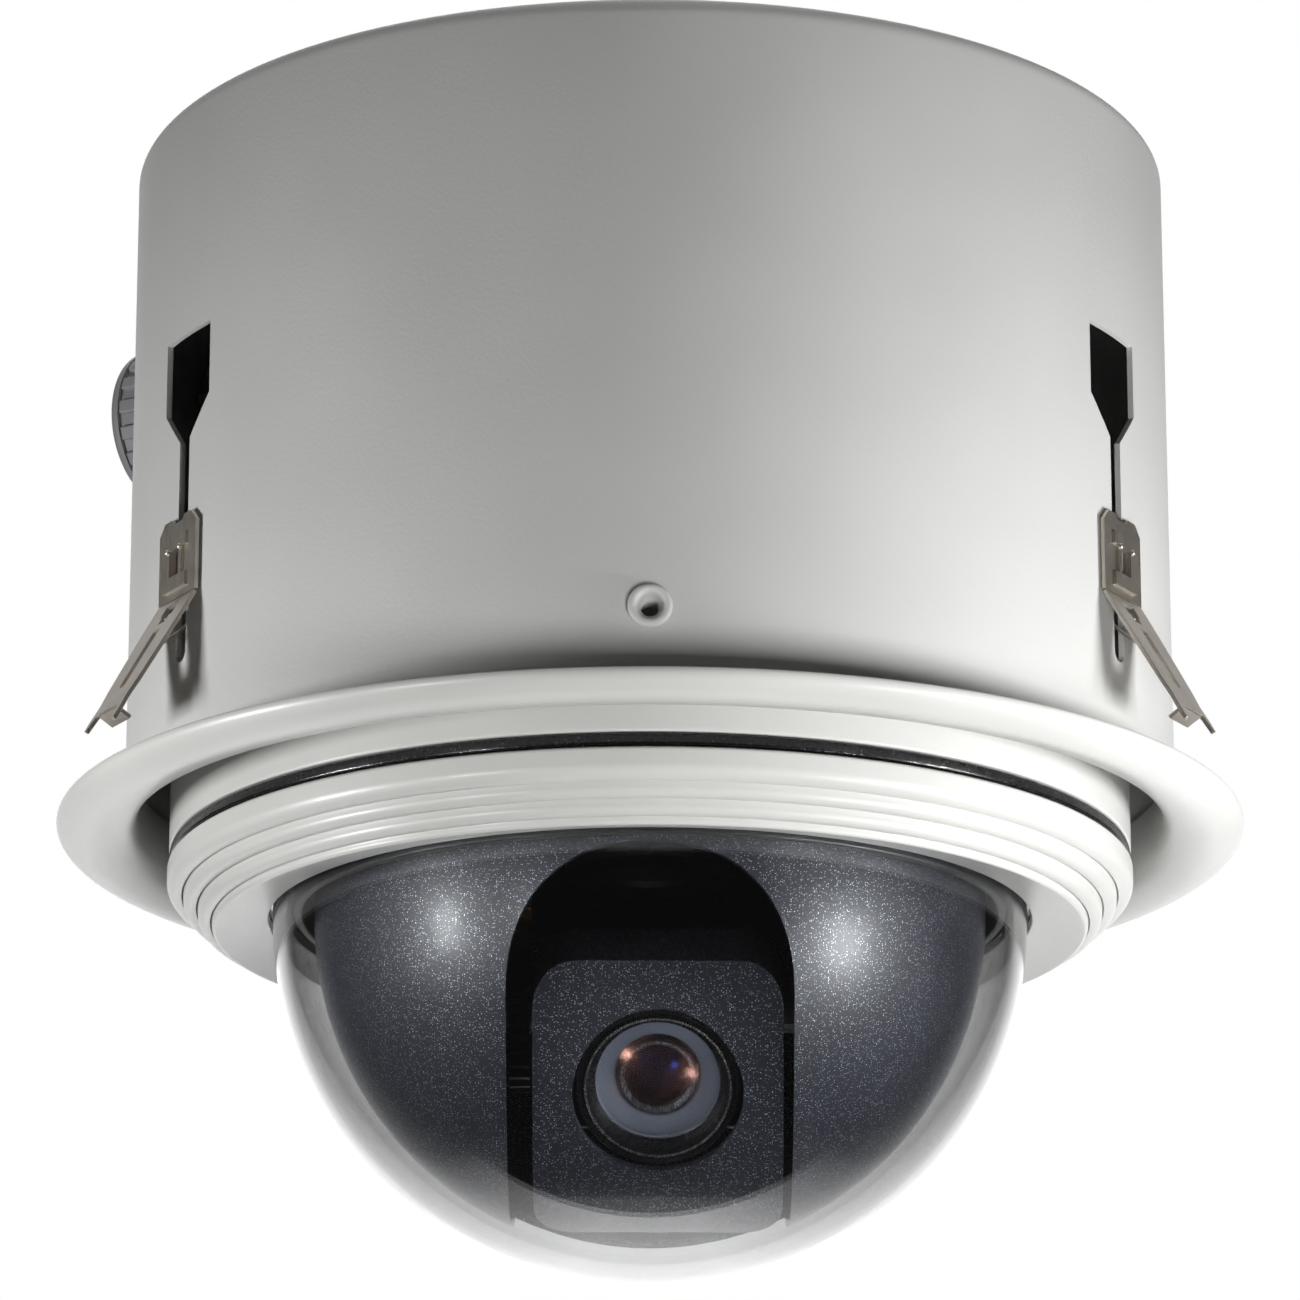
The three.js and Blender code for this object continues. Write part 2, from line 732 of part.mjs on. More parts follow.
function cameraCover() {
  const hole = forwards(rod(LENS_HOLE_R, COVER_BACK, FACE_R + 5, MEDIUM));
  return onTilt(cut(faceBlock(0), faceBlock(COVER_WALL), hole));
}
add("camera_cover", cameraCover(), paint(0x24252a, 0.5));

const BLOCK_FRONT = COVER_BACK - GAP;
const onLens = (geometry) => onTilt(forwards(geometry));

add(
  "camera_block",
  onTilt(box(-BLOCK_HALF, BLOCK_HALF, -BLOCK_FRONT, BLOCK_BACK, -BLOCK_HIGH, BLOCK_HIGH)),
  paint(BLACK, 0.55),
);
add(
  "lens_ring",
  onLens(
    turned(
      [
        [LENS_RING_BORE_R, COVER_BACK],
        [LENS_RING_R, COVER_BACK],
        [LENS_RING_R, LENS_RING_FRONT - 0.5],
        [LENS_RING_R - 0.5, LENS_RING_FRONT],
        [LENS_RING_BORE_R + 0.4, LENS_RING_FRONT],
        [LENS_RING_BORE_R, LENS_RING_FRONT - 0.5],
      ],
      MEDIUM,
    ),
  ),
  paint(BLACK, 0.3),
);
add(
  "lens_baffle",
  onLens(
    turned(
      [
        [BAFFLE_BORE_R, 33.8],
        [BAFFLE_R, 36.2],
        [BAFFLE_R, 37.2],
        [BAFFLE_BORE_R, 34.8],
      ],
      MEDIUM,
    ),
  ),
  paint(0x55565a, 0.5),
);
add(
  "lens_inner_barrel",
  onLens(tube(BARREL_R, BARREL_BORE_R, COVER_BACK, BARREL_FRONT, MEDIUM)),
  paint(BLACK, 0.3),
);
add(
  "lens_glass",
  onLens(
    turned(
      [
        [0, GLASS_BACK],
        [GLASS_R, GLASS_BACK],
        [GLASS_R, GLASS_FRONT - 1.1],
        [0.56 * GLASS_R, GLASS_FRONT - 0.3],
        [0, GLASS_FRONT],
      ],
      COARSE,
    ),
  ),
  paint(0x1c2450, 0.05),
);

const AXLE_END = YOKE_X + YOKE_SHEET + 1;
const onAxle = (geometry) => sideways(geometry).translate(0, 0, TILT_Z);

add(
  "tilt_gear",
  onAxle(gear(TILT_TEETH, TILT_MODULE, 0, AXLE_R + GAP, GEAR_OUT, GEAR_IN)),
  paint(0xd9d6c8, 0.6),
);
add("tilt_axle_left", onAxle(rod(AXLE_R, -AXLE_END, CAMERA_X - BLOCK_HALF - GAP)), paint(STEEL, 0.3, 1));
add("tilt_axle_right", onAxle(rod(AXLE_R, CAMERA_X + BLOCK_HALF + GAP, AXLE_END)), paint(STEEL, 0.3, 1));

export default root;
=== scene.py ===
import math

import bmesh
import bpy
from bpy.props import FloatProperty, FloatVectorProperty, PointerProperty
from mathutils import Matrix, Vector


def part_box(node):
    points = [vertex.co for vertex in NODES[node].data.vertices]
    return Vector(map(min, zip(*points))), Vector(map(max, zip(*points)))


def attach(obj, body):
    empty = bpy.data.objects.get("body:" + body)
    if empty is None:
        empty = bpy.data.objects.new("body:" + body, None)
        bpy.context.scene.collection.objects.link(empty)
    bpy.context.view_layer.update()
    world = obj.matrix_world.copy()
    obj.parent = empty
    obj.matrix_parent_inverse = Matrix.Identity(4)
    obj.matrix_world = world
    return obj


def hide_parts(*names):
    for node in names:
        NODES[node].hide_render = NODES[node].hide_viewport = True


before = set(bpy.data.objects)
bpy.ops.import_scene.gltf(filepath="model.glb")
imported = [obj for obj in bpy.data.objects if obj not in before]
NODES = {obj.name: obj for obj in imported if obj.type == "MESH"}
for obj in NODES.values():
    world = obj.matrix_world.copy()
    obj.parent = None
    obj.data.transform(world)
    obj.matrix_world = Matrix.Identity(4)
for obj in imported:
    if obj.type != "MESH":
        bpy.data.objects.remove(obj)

bl_info = {
    "name": "Recessed Dome Camera",
    "version": (1, 0, 0),
    "blender": (4, 5, 0),
    "location": "3D View > Sidebar > Dome Camera",
    "description": "Builds the visible pieces of a recessed pan and tilt dome camera on its packed frame",
    "category": "Add Mesh",
}

MM = 0.001
FULL_TURN = 2 * math.pi
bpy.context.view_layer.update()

CAN_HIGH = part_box("can_shell")[1]

# Angles are in degrees, and lengths in mm up to the stage's own.
CLIP_AZIMUTHS = (-60.0, 60.0, 180.0)
GLAND_AZIMUTH = -120.0
CAN_OUTSIDE = 103.9
NUT_HEIGHT = 15.1
GLAND_HEIGHT = 103.9
CUT_FROM, CUT_TO = 95, 108
SHEET = 0.8
WING_LEAN = 30
TILT_Z = -37.0
TILT_REST = 33.0
CAMERA_X = 1.5
DOME_Z = -18.1

# The stage is in metres, and its brightness is a share of full white.
FLOOR_Z = -0.55
SWEEP_EDGE = 0.43
DARK_ROOM, LIT_ROOM, LIT_BACKDROP = 0.03, 0.1, 0.95
VIEW_PLACE = (0, -1.2488, -0.3313)
VIEW_RISE = 16.45
VIEW_FOCAL_MM = 180.4


# ---- Colour, nodes and materials ----


def tint(hex_colour):
    """An sRGB hex colour as linear red, green and blue, with full alpha."""
    parts = [int(hex_colour[i : i + 2], 16) / 255 for i in (1, 3, 5)]
    linear = [c / 12.92 if c <= 0.04045 else ((c + 0.055) / 1.055) ** 2.4 for c in parts]
    return (*linear, 1.0)


def add(tree, kind, inputs=None, **settings):
    """Adds a node, sets its properties, and sets or links each of its inputs."""
    made = tree.nodes.new(kind)
    for name, value in settings.items():
        setattr(made, name, value)
    for name, value in (inputs or {}).items():
        if isinstance(value, bpy.types.NodeSocket):
            tree.links.new(value, made.inputs[name])
        else:
            made.inputs[name].default_value = value
    return made


def blank_material(name, **shader_values):
    """A material with one Principled shader, given with its tree and its object coordinates."""
    material = bpy.data.materials.new(name)
    material.use_nodes = True
    tree = material.node_tree
    tree.nodes.clear()
    shader = add(tree, "ShaderNodeBsdfPrincipled")
    for socket, value in shader_values.items():
        shader.inputs[socket.replace("_", " ")].default_value = value
    add(tree, "ShaderNodeOutputMaterial", {"Surface": shader.outputs["BSDF"]})
    place = add(tree, "ShaderNodeTexCoord").outputs["Object"]
    return material, tree, shader, place


def wire(tree, shader, **sockets):
    """Links values to a shader's sockets."""
    for socket, value in sockets.items():
        tree.links.new(value, shader.inputs[socket.replace("_", " ")])


def noise(tree, place, size_mm, detail=2.0, rough=0.5):
    """Noise whose lumps are about size_mm across."""
    return add(
        tree,
        "ShaderNodeTexNoise",
        {"Vector": place, "Scale": 1 / (size_mm * MM), "Detail": detail, "Roughness": rough},
    ).outputs["Fac"]


def spread(tree, value, low, high, from_low=0.3, from_high=0.7):
    """A value stretched so that from_low to from_high runs from low to high, and held at both ends."""
    return add(
        tree,
        "ShaderNodeMapRange",
        {"Value": value, "From Min": from_low, "From Max": from_high, "To Min": low, "To Max": high},
    ).outputs["Result"]


def maths(tree, operation, *values):
    """One Math node's result."""
    return add(tree, "ShaderNodeMath", dict(enumerate(values)), operation=operation).outputs[0]


def between(tree, share, first, second):
    """A colour mixed from first to second by share."""
    mixed = add(tree, "ShaderNodeMix", {"Factor": share}, data_type="RGBA")
    for socket, value in ((mixed.inputs[6], first), (mixed.inputs[7], second)):
        if isinstance(value, bpy.types.NodeSocket):
            tree.links.new(value, socket)
        else:
            socket.default_value = value
    return mixed.outputs[2]


def drifting(tree, lumps, colour, shade):
    """A colour that drifts to its shade with the lumps."""
    return between(tree, spread(tree, lumps, 0.0, 1.0), colour, shade)


def bump(tree, height, depth_mm, strength=1.0):
    """The normal of a surface raised by height times depth_mm."""
    return add(
        tree, "ShaderNodeBump", {"Height": height, "Distance": depth_mm * MM, "Strength": strength}
    ).outputs["Normal"]


def painted_steel(name, colour, shade, grain_mm, depth_mm, roughness, clear_coat=0.0):
    """Paint cured on metal, in a linear colour: orange peel, faint cloudiness and a soft sheen."""
    material, tree, shader, place = blank_material(
        name, IOR=1.5, Coat_Weight=clear_coat, Coat_Roughness=0.25
    )
    peel = noise(tree, place, grain_mm, 3.0, 0.55)
    cloud = noise(tree, place, 35.0, 1.0)
    wire(
        tree,
        shader,
        Base_Color=drifting(tree, cloud, (*colour, 1.0), tint(shade)),
        Roughness=spread(tree, peel, roughness - 0.06, roughness + 0.08),
        Normal=bump(tree, peel, depth_mm),
    )
    return material


def flecked_plastic(name, base, fleck, fleck_mm, share, roughness, gloss_coat=0.0):
    """Black moulding with silver flecks just under a satin skin: dark, with a fine sparkle in light."""
    material, tree, shader, place = blank_material(
        name, IOR=1.5, Coat_Weight=gloss_coat, Coat_Roughness=0.08
    )
    cells = add(
        tree, "ShaderNodeTexVoronoi", {"Vector": place, "Scale": 1 / (fleck_mm * MM), "Randomness": 1.0}
    )
    pick = add(tree, "ShaderNodeSeparateColor", {"Color": cells.outputs["Color"]})
    chosen = spread(tree, pick.outputs["Red"], 0.0, 1.0, 1.0 - share, 1.0)
    near = spread(tree, cells.outputs["Distance"], 1.0, 0.0, 0.14, 0.36)
    mask = maths(tree, "MULTIPLY", chosen, near)
    grain = noise(tree, place, fleck_mm * 1.4, 2.0, 0.6)
    wire(
        tree,
        shader,
        Base_Color=between(tree, mask, tint(base), tint(fleck)),
        Metallic=mask,
        Roughness=spread(tree, grain, roughness - 0.08, roughness + 0.1),
        Normal=bump(tree, grain, 0.05, 0.8),
    )
    return material


def moulded_plastic(name, colour, shade, roughness, grain_mm=0.6, depth_mm=0.01):
    """Injection-moulded plastic: a faint spark-eroded grain and slightly uneven sheen."""
    material, tree, shader, place = blank_material(name, IOR=1.5)
    grain = noise(tree, place, grain_mm, 2.0)
    drift = noise(tree, place, 18.0, 1.0)
    wire(
        tree,
        shader,
        Base_Color=drifting(tree, drift, tint(colour), tint(shade)),
        Roughness=spread(tree, grain, roughness - 0.05, roughness + 0.06),
        Normal=bump(tree, grain, depth_mm),
    )
    return material


def rolled_metal(name, colour, shade, roughness, streak_mm=0.25, depth_mm=0.004):
    """Rolled or turned metal: fine streaks along one way, with slightly duller patches from handling."""
    material, tree, shader, place = blank_material(name, Metallic=1.0)
    drawn = add(tree, "ShaderNodeMapping", {"Vector": place, "Scale": (1.0, 1.0, 0.06)}).outputs["Vector"]
    streaks = noise(tree, drawn, streak_mm, 3.0, 0.6)
    patches = noise(tree, place, 7.0, 2.0)
    wire(
        tree,
        shader,
        Base_Color=drifting(tree, patches, tint(colour), tint(shade)),
        Roughness=spread(tree, streaks, roughness - 0.06, roughness + 0.1),
        Normal=bump(tree, streaks, depth_mm),
    )
    return material


def let_lamps_through(material, passed):
    """Lets lamps shine through a clear piece, so what is behind it is lit."""
    tree = material.node_tree
    output = next(n for n in tree.nodes if n.type == "OUTPUT_MATERIAL")
    glass = output.inputs["Surface"].links[0].from_socket
    clear = add(tree, "ShaderNodeBsdfTransparent", {"Color": passed})
    lamp_ray = add(tree, "ShaderNodeLightPath").outputs["Is Shadow Ray"]
    mixed = add(tree, "ShaderNodeMixShader", {0: lamp_ray, 1: glass, 2: clear.outputs["BSDF"]})
    tree.links.new(mixed.outputs["Shader"], output.inputs["Surface"])


def clear_polycarbonate():
    """Clear moulded polycarbonate: sharp reflections, a rim darker edge on, the faintest waviness."""
    material, tree, shader, place = blank_material(
        "clear_polycarbonate", IOR=1.585, Roughness=0.0, Transmission_Weight=1.0
    )
    edge_on = add(tree, "ShaderNodeLayerWeight", {"Blend": 0.5}).outputs["Facing"]
    wave = noise(tree, place, 60.0, 0.0)
    wire(
        tree,
        shader,
        Base_Color=between(tree, edge_on, tint("#FBFCFD"), tint("#9A9896")),
        Normal=bump(tree, wave, 0.02),
    )
    let_lamps_through(material, tint("#F4F6F7"))
    return material


def coated_glass(name, colour, reflected, passed=None, transmission=1.0):
    """Polished optical glass: its anti-reflection film colours the small bright reflections."""
    material, tree, shader, place = blank_material(
        name,
        IOR=1.6,
        Transmission_Weight=transmission,
        Base_Color=tint(colour),
        Specular_IOR_Level=0.7,
        Specular_Tint=tint(reflected),
    )
    smear = noise(tree, place, 4.0, 1.0)
    wire(tree, shader, Roughness=spread(tree, smear, 0.15, 0.18))
    if passed:
        let_lamps_through(material, tint(passed))
    return material


def circuit_board():
    """Glass-epoxy board under green solder mask: copper tracks show as slightly lighter lines."""
    material, tree, shader, place = blank_material("green_circuit_board", IOR=1.5)
    tracks = add(
        tree,
        "ShaderNodeTexBrick",
        {
            "Vector": place,
            "Scale": 1.0,
            "Brick Width": 9.0 * MM,
            "Row Height": 2.4 * MM,
            "Mortar Size": 0.3 * MM,
            "Color1": tint("#14502C"),
            "Color2": tint("#124526"),
            "Mortar": tint("#2A7A45"),
        },
    )
    sheen = spread(tree, noise(tree, place, 0.8), 0.3, 0.42)
    wire(tree, shader, Base_Color=tracks.outputs["Color"], Roughness=sheen)
    return material


# ---- Mesh helpers ----


def arc(cx, cy, radius, start, stop, steps):
    """Points along an arc, with angles in degrees."""
    angles = [math.radians(start + (stop - start) * i / steps) for i in range(steps + 1)]
    return [(cx + radius * math.cos(a), cy + radius * math.sin(a)) for a in angles]


def turned(profile, steps=192, corners=()):
    """Spins a profile of (radius, height) in mm about Z, then rounds the rings listed in corners."""
    bm = bmesh.new()
    ring = [bm.verts.new((r * MM, 0, z * MM)) for r, z in profile]
    edges = [bm.edges.new(pair) for pair in zip(ring, ring[1:])]
    on_axis = profile[0][0] == 0 and profile[-1][0] == 0
    if not on_axis:
        edges.append(bm.edges.new((ring[-1], ring[0])))
    bmesh.ops.spin(
        bm,
        geom=ring + edges,
        cent=(0, 0, 0),
        axis=(0, 0, 1),
        angle=FULL_TURN,
        steps=steps,
        use_merge=True,
    )
    bmesh.ops.remove_doubles(bm, verts=bm.verts, dist=1e-6)
    bmesh.ops.recalc_face_normals(bm, faces=bm.faces)
    for r, z, width, segments in corners:
        round_ring(bm, r, z, width, segments)
    return bm


def round_ring(bm, r, z, width, segments):
    """Rounds the ring of edges at one radius and height."""

    def on_ring(v):
        return abs(math.hypot(v.co.x, v.co.y) - r * MM) < 2e-6 and abs(v.co.z - z * MM) < 2e-6

    edges = [e for e in bm.edges if on_ring(e.verts[0]) and on_ring(e.verts[1])]
    if not edges:
        raise RuntimeError(f"no ring at radius {r}, height {z}")
    bevel(bm, edges, width, segments)


def bevel(bm, edges, width, segments=2):
    """Rounds edges by a width in mm."""
    bmesh.ops.bevel(
        bm,
        geom=edges,
        offset=width * MM,
        offset_type="OFFSET",
        affect="EDGES",
        segments=segments,
        profile=0.5,
        clamp_overlap=True,
        material=-1,
    )


def slab(points, low, high):
    """A flat outline in mm, drawn in X and Y and extruded from low to high along Z."""
    bm = bmesh.new()
    face = bm.faces.new([bm.verts.new((x * MM, y * MM, low * MM)) for x, y in points])
    grown = bmesh.ops.extrude_face_region(bm, geom=[face])
    lifted = [v for v in grown["geom"] if isinstance(v, bmesh.types.BMVert)]
    bmesh.ops.translate(bm, verts=lifted, vec=(0, 0, (high - low) * MM))
    bmesh.ops.recalc_face_normals(bm, faces=bm.faces)
    return bm


def brick(x0, x1, y0, y1, z0, z1):
    """A box in mm."""
    return slab([(x0, y0), (x1, y0), (x1, y1), (x0, y1)], z0, z1)


def sharp_edges(bm, degrees=60, where=lambda edge: True):
    """The edges that turn by more than an angle, and that pass a test."""
    limit = math.radians(degrees)
    return [e for e in bm.edges if len(e.link_faces) == 2 and e.calc_face_angle(0) > limit and where(e)]


def softened(bm, width, segments=2):
    """Rounds a mesh's square edges."""
    bevel(bm, sharp_edges(bm), width, segments)
    return bm


def moved(bm, matrix):
    """Moves a mesh, and gives it back."""
    bmesh.ops.transform(bm, matrix=matrix, verts=bm.verts)
    return bm


def gathered(*parts):
    """Puts several meshes into one."""
    whole = parts[0]
    for part in parts[1:]:
        spare = bpy.data.meshes.new("spare")
        part.to_mesh(spare)
        part.free()
        whole.from_mesh(spare)
        bpy.data.meshes.remove(spare)
    return whole


def combined(body, tools, operation="DIFFERENCE"):
    """Cuts the tools out of the body, or joins or intersects them, and returns the new mesh."""
    objects = []
    for number, part in enumerate([body, *tools]):
        mesh = bpy.data.meshes.new(f"work_{number}")
        part.to_mesh(mesh)
        part.free()
        made = bpy.data.objects.new(f"work_{number}", mesh)
        bpy.context.scene.collection.objects.link(made)
        objects.append(made)
    target = objects[0]
    for tool in objects[1:]:
        step = target.modifiers.new("step", "BOOLEAN")
        step.object, step.operation, step.solver = tool, operation, "EXACT"
    bpy.context.view_layer.update()
    depsgraph = bpy.context.evaluated_depsgraph_get()
    solved = bpy.data.meshes.new_from_object(target.evaluated_get(depsgraph))
    result = bmesh.new()
    result.from_mesh(solved)
    for made in objects:
        mesh = made.data
        bpy.data.objects.remove(made)
        bpy.data.meshes.remove(mesh)
    bpy.data.meshes.remove(solved)
    bmesh.ops.remove_doubles(result, verts=result.verts, dist=1e-7)
    bmesh.ops.dissolve_degenerate(result, edges=result.edges, dist=1e-7)
    return result


def turn(axis, degrees):
    """A turn about an axis."""
    return Matrix.Rotation(math.radians(degrees), 4, axis)


def shift(x, y, z):
    """A move in mm."""
    return Matrix.Translation((x * MM, y * MM, z * MM))


def on_wall(azimuth):
    """Stands a piece on the can: X along the wall, Y up and Z outwards."""
    return turn("Z", azimuth) @ turn("X", 90)


def on_lens():
    """Points a piece made along Z the way the lens points at rest, about the tilt axis."""
    return shift(CAMERA_X, 0, TILT_Z) @ turn("X", TILT_REST) @ turn("X", 90)


def piece(name, bm, body, finish, stands_for=(), sharp=38, weighted=True):
    """Finishes a mesh as a named piece that rides on a body and stands for its CAD nodes."""
    mesh = bpy.data.meshes.new(name)
    for face in bm.faces:
        face.smooth = True
    bm.to_mesh(mesh)
    bm.free()
    mesh.set_sharp_from_angle(angle=math.radians(sharp))
    mesh.materials.append(finish_named(finish))
    made = bpy.data.objects.new(name, mesh)
    bpy.context.scene.collection.objects.link(made)
    if weighted:
        even = made.modifiers.new("even_normals", "WEIGHTED_NORMAL")
        even.keep_sharp = True
    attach(made, body)
    if stands_for:
        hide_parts(*stands_for)
    return made


def dress(finish, *nodes):
    """Gives carried-over CAD nodes a finished material."""
    for name in nodes:
        mesh = NODES[name].data
        mesh.materials.clear()
        mesh.materials.append(finish_named(finish))


# ---- Sizes and colours a user would change ----


class DomeSizes(bpy.types.PropertyGroup):
    can_radius: FloatProperty(
        name="Can radius",
        description="Outer radius of the ceiling can",
        default=CAN_HIGH[0],
        unit="LENGTH",
        subtype="DISTANCE",
    )
    can_top: FloatProperty(
        name="Can top",
        description="Height of the can above the ceiling's lower surface",
        default=CAN_HIGH[2],
        unit="LENGTH",
        subtype="DISTANCE",
    )
    bubble_radius: FloatProperty(
        name="Bubble radius",
        description="Outer radius of the clear bubble",
        default=0.0744,
        unit="LENGTH",
        subtype="DISTANCE",
    )
    liner_radius: FloatProperty(
        name="Liner radius",
        description="Outer radius of the slotted liner inside the bubble",
        default=0.0662,
        unit="LENGTH",
        subtype="DISTANCE",
    )


class DomeColours(bpy.types.PropertyGroup):
    powder_coat: FloatVectorProperty(
        name="Powder coat",
        description="Colour of the ceiling can",
        default=tint("#D4D4D2")[:3],
        subtype="COLOR",
        min=0,
        max=1,
    )
    trim: FloatVectorProperty(
        name="Trim",
        description="Colour of the flange, housing and trim ring",
        default=tint("#D3D3D0")[:3],
        subtype="COLOR",
        min=0,
        max=1,
    )


FINISHES = {}


def finish_named(name):
    """The shared materials, each made once."""
    colours = bpy.context.scene.dome_colours
    # A paint: name, colour, shade, grain and depth in mm, roughness, clear coat.
    paints = {
        "powder_coat": ("powder_coated_steel", colours.powder_coat, "#CECECC", 0.75, 0.05, 0.5),
        "trim_paint": ("satin_painted_aluminium", colours.trim, "#CDCDCA", 0.9, 0.008, 0.36, 0.15),
    }
    # Flecked: name, base, fleck, fleck in mm, share of flecks, roughness, gloss coat.
    flecked = {
        "flecked_black": ("silver_flecked_abs", "#191A22", "#E2E7F4", 0.32, 0.6, 0.36, 0.3),
        "band_black": ("flecked_gloss_seal", "#0B0B0D", "#9A9CA4", 0.4, 0.12, 0.22, 0.6),
    }
    # Moulded: name, colour, shade, roughness, grain and depth in mm.
    moulded = {
        "black_plastic": ("black_moulded_abs", "#0E0E10", "#131316", 0.38),
        "gland_nylon": ("grey_moulded_nylon", "#A09EA0", "#979598", 0.45),
        "rubber": ("black_seal_rubber", "#101010", "#161616", 0.75, 0.4, 0.02),
        # The gears' near-black colour is painted shade: where they show through the slot, they are as
        # dark as the shaded space around them.
        "gear_nylon": ("gear_plastic_darkened_as_painted_shade", "#1A1A1B", "#202021", 0.42),
        "anodised": ("black_anodised_aluminium", "#0A0A0C", "#101013", 0.28, 0.3, 0.004),
        "baffle": ("satin_grey_baffle", "#74767E", "#6B6D75", 0.42, 0.3, 0.004),
    }
    # Metal: name, colour, shade, roughness, streak and depth in mm.
    metals = {
        "spring_steel": ("rolled_stainless_spring_strip", "#CBC4BA", "#BDB6AC", 0.46),
        "plated_steel": ("zinc_plated_steel", "#B9BBBD", "#A7AAAD", 0.36),
        "brass": ("turned_brass", "#C9A562", "#B9924F", 0.32),
        "bright_bezel": ("turned_bright_aluminium", "#D2D3D5", "#C6C7CA", 0.24, 0.2, 0.002),
    }
    # Glass: name, colour, reflected colour, colour that lamps pass, transmission.
    glasses = {
        "front_element": ("coated_front_element", "#F4F4F8", "#FFB7A0", "#F0F0F4"),
        "inner_element": ("coated_inner_element", "#06070C", "#4A78FF", None, 0.0),
    }
    families = (
        (painted_steel, paints),
        (flecked_plastic, flecked),
        (moulded_plastic, moulded),
        (rolled_metal, metals),
        (coated_glass, glasses),
        (circuit_board, {"board": ()}),
        (clear_polycarbonate, {"polycarbonate": ()}),
    )
    for make, recipes in families:
        if name in recipes and name not in FINISHES:
            FINISHES[name] = make(*recipes[name])
    return FINISHES[name]


# ---- Pieces ----


def keyhole_cutter():
    """A window that narrows to a slot with a round foot."""
    half, wide = 2.1, 9.4
    foot = arc(0, 19.7 + half, half, 180, 360, 12)
    outline = [
        *foot,
        (half, 64.4),
        (wide, 71.7),
        (wide, 86.4),
        (-wide, 86.4),
        (-wide, 71.7),
        (-half, 64.4),
    ]
    return slab(outline, CUT_FROM, CUT_TO)


def round_cutter(radius, steps, azimuth, height):
    """A round hole through the can's wall."""
    hole = turned([(0, CUT_FROM), (radius, CUT_FROM), (radius, CUT_TO), (0, CUT_TO)], steps)
    return moved(hole, on_wall(azimuth) @ shift(0, height, 0))


class DOMECAM_OT_can(bpy.types.Operator):
    """Drawn steel can with rolled shoulder, keyholes for the clips and holes for the nut and gland"""

    bl_idname = "domecam.can"
    bl_label = "Ceiling can"

    def execute(self, context):
        sizes = context.scene.dome_sizes
        outer = sizes.can_radius / MM
        top = sizes.can_top / MM
        wall = 1.2
        rows = 32
        heights = [top * row / rows for row in range(1, rows)]
        profile = [
            (0, top),
            (outer, top),
            *((outer, z) for z in reversed(heights)),
            (outer, 0),
            (outer - wall, 0),
            *((outer - wall, z) for z in heights),
            (outer - wall, top - wall),
            (0, top - wall),
        ]
        shell = turned(
            profile,
            180,
            [(outer, top, 3.5, 8), (outer - wall, top - wall, 2.3, 4), (outer, 0, 0.3, 2)],
        )
        cutters = [moved(keyhole_cutter(), on_wall(azimuth)) for azimuth in CLIP_AZIMUTHS]
        cutters.append(round_cutter(3.6, 48, 0, NUT_HEIGHT))
        cutters.append(round_cutter(10.3, 64, GLAND_AZIMUTH, GLAND_HEIGHT))
        shell = combined(shell, cutters)

        def rim_of_cut(edge):
            radii = [math.hypot(v.co.x, v.co.y) / MM for v in edge.verts]
            heights = [v.co.z / MM for v in edge.verts]
            return min(radii) > outer - 0.3 and min(heights) > 5 and max(heights) < top - 5

        bevel(shell, sharp_edges(shell, where=rim_of_cut), 0.22)
        piece("can", shell, "can_unit", "powder_coat", ["can_shell"])
        return {"FINISHED"}


class DOMECAM_OT_flange(bpy.types.Operator):
    """Spun trim flange with a crowned underside that rolls up into the can"""

    bl_idname = "domecam.flange"
    bl_label = "Trim flange"

    def execute(self, context):
        profile = [
            (102.4, 10),
            (101.4, 10),
            (101.4, 3),
            (101.5, 0.2),
            (101.9, -1.6),
            (103.2, -3.1),
            (105.4, -4.1),
            (108.2, -4.85),
            (110.8, -5.1),
            (113.4, -4.6),
            (115.7, -3.5),
            (117.0, -2.2),
            (117.35, -1.1),
            (117.2, -0.3),
            (116.7, 0),
            (115.5, 0),
            (104.3, 0),
            (104.2, -0.3),
            (102.4, -0.3),
        ]
        ring = turned(profile, 128)
        made = piece(
            "flange",
            ring,
            "can_unit",
            "trim_paint",
            ["trim_flange"],
            sharp=80,
            weighted=False,
        )
        smooth = made.modifiers.new("rolled", "SUBSURF")
        smooth.levels = smooth.render_levels = 2
        return {"FINISHED"}


class DOMECAM_OT_rivet_nut(bpy.types.Operator):
    """Rivet nut set in the front of the can, painted over with it"""

    bl_idname = "domecam.rivet_nut"
    bl_label = "Rivet nut"

    def execute(self, context):
        wall = CAN_OUTSIDE
        thread = []
        z = wall - 6.6
        while z < wall - 0.6:
            thread += [(2.05, z), (1.78, z + 0.35)]
            z += 0.7
        profile = [
            (2.05, wall - 7),
            (3.3, wall - 7),
            (3.3, wall + 0.3),
            (4.15, wall + 0.25),
            (4.15, wall + 0.8),
            (3.9, wall + 1.25),
            (3.3, wall + 1.4),
            (2.75, wall + 1.15),
            (2.2, wall + 0.2),
            *reversed(thread),
        ]
        nut = moved(turned(profile, 64), on_wall(0) @ shift(0, NUT_HEIGHT, 0))
        piece("rivet_nut_painted", nut, "can_unit", "powder_coat", ["rivet_nut"], sharp=50)
        return {"FINISHED"}


